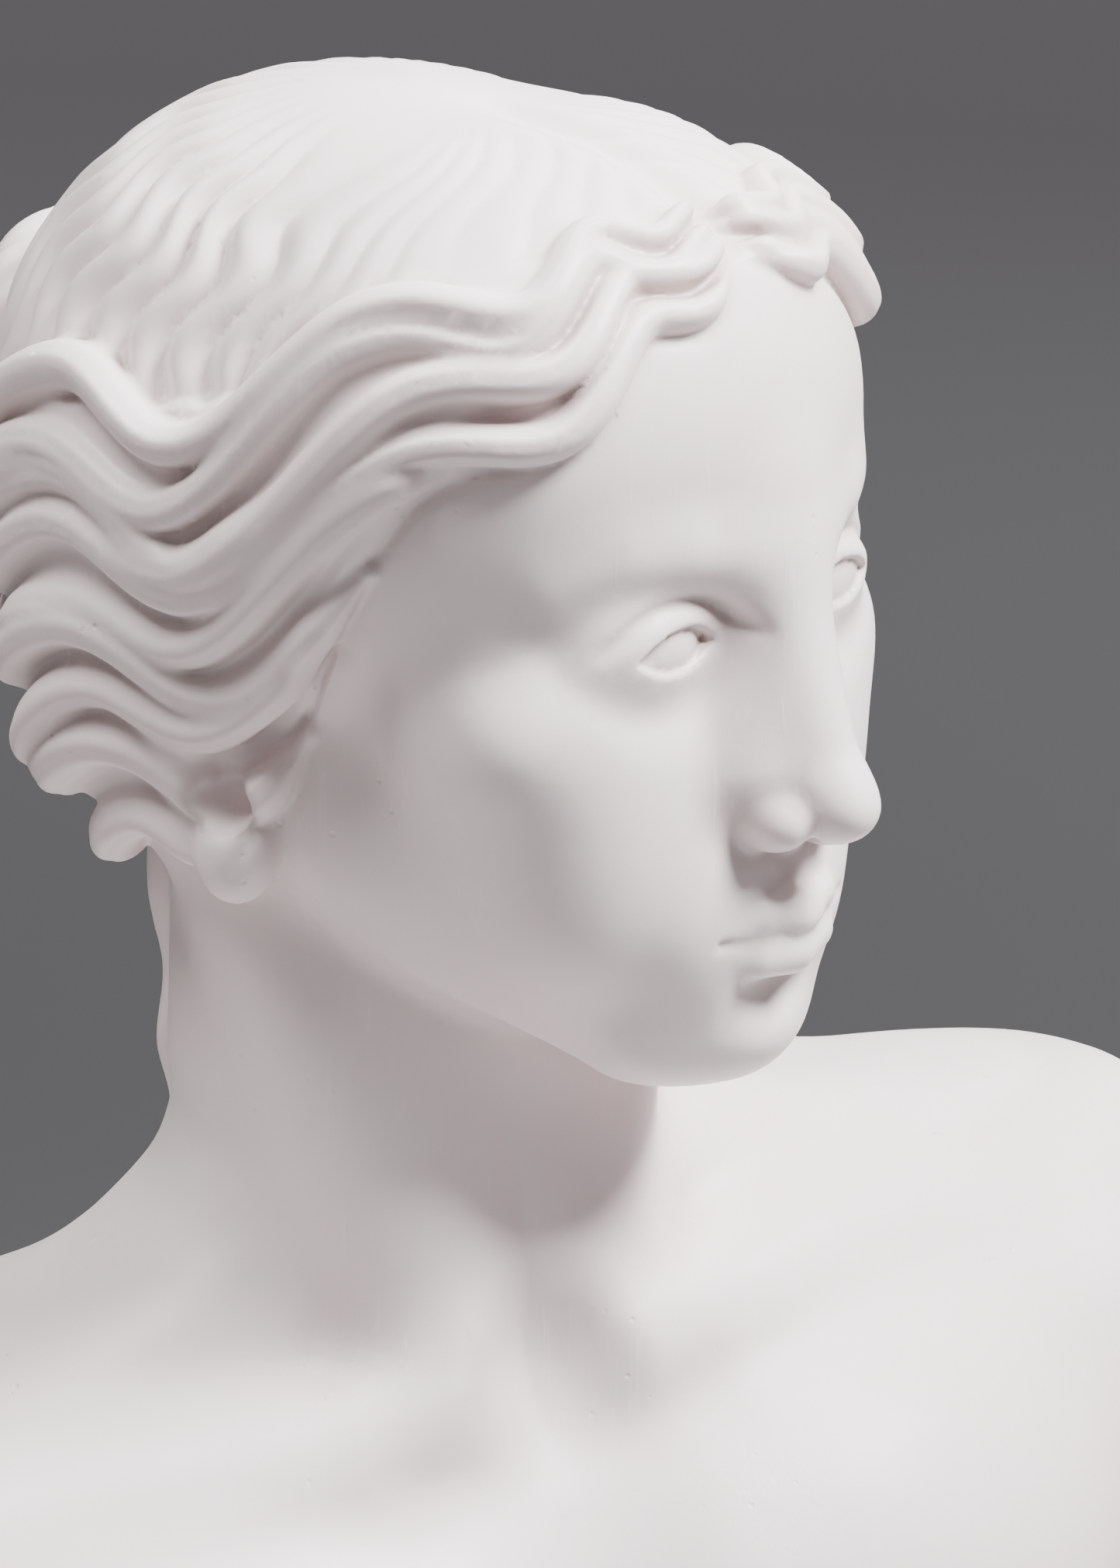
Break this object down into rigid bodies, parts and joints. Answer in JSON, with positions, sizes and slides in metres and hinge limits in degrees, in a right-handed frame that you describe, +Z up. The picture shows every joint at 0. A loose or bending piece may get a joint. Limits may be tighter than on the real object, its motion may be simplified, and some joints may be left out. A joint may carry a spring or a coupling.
{
  "type": "marble bust",
  "caption": "Carved head and shoulders of a woman with waved, knotted hair, on a turned socle and a square plinth, standing free on felt.",
  "frame": {"origin": "middle of the felt's underside, where the bust stands", "axes": "+Z up along the socle's axis, the chest faces -Y, and the figure's own left is +X"},
  "size_m": [0.196, 0.112, 0.2949],
  "materials": {
    "marble": "honed satin, fine polishing scratches",
    "cork": "fine granular",
    "felt": "matt pressed wool",
    "steel": "zinc plated",
    "brass": "turned and knurled"
  },
  "bodies": {
    "root": {"felt_base": "felt", "plinth": "marble", "plinth_bed": "cork", "socle": "marble", "bust_bed": "cork", "bust": "marble", "threaded_insert": "brass", "tie_rod": "steel", "plate_washer": "steel", "spring_washer": "steel", "hex_nut": "steel", "socle_pin": "steel", "bust_pin": "steel"}
  },
  "joints": []
}
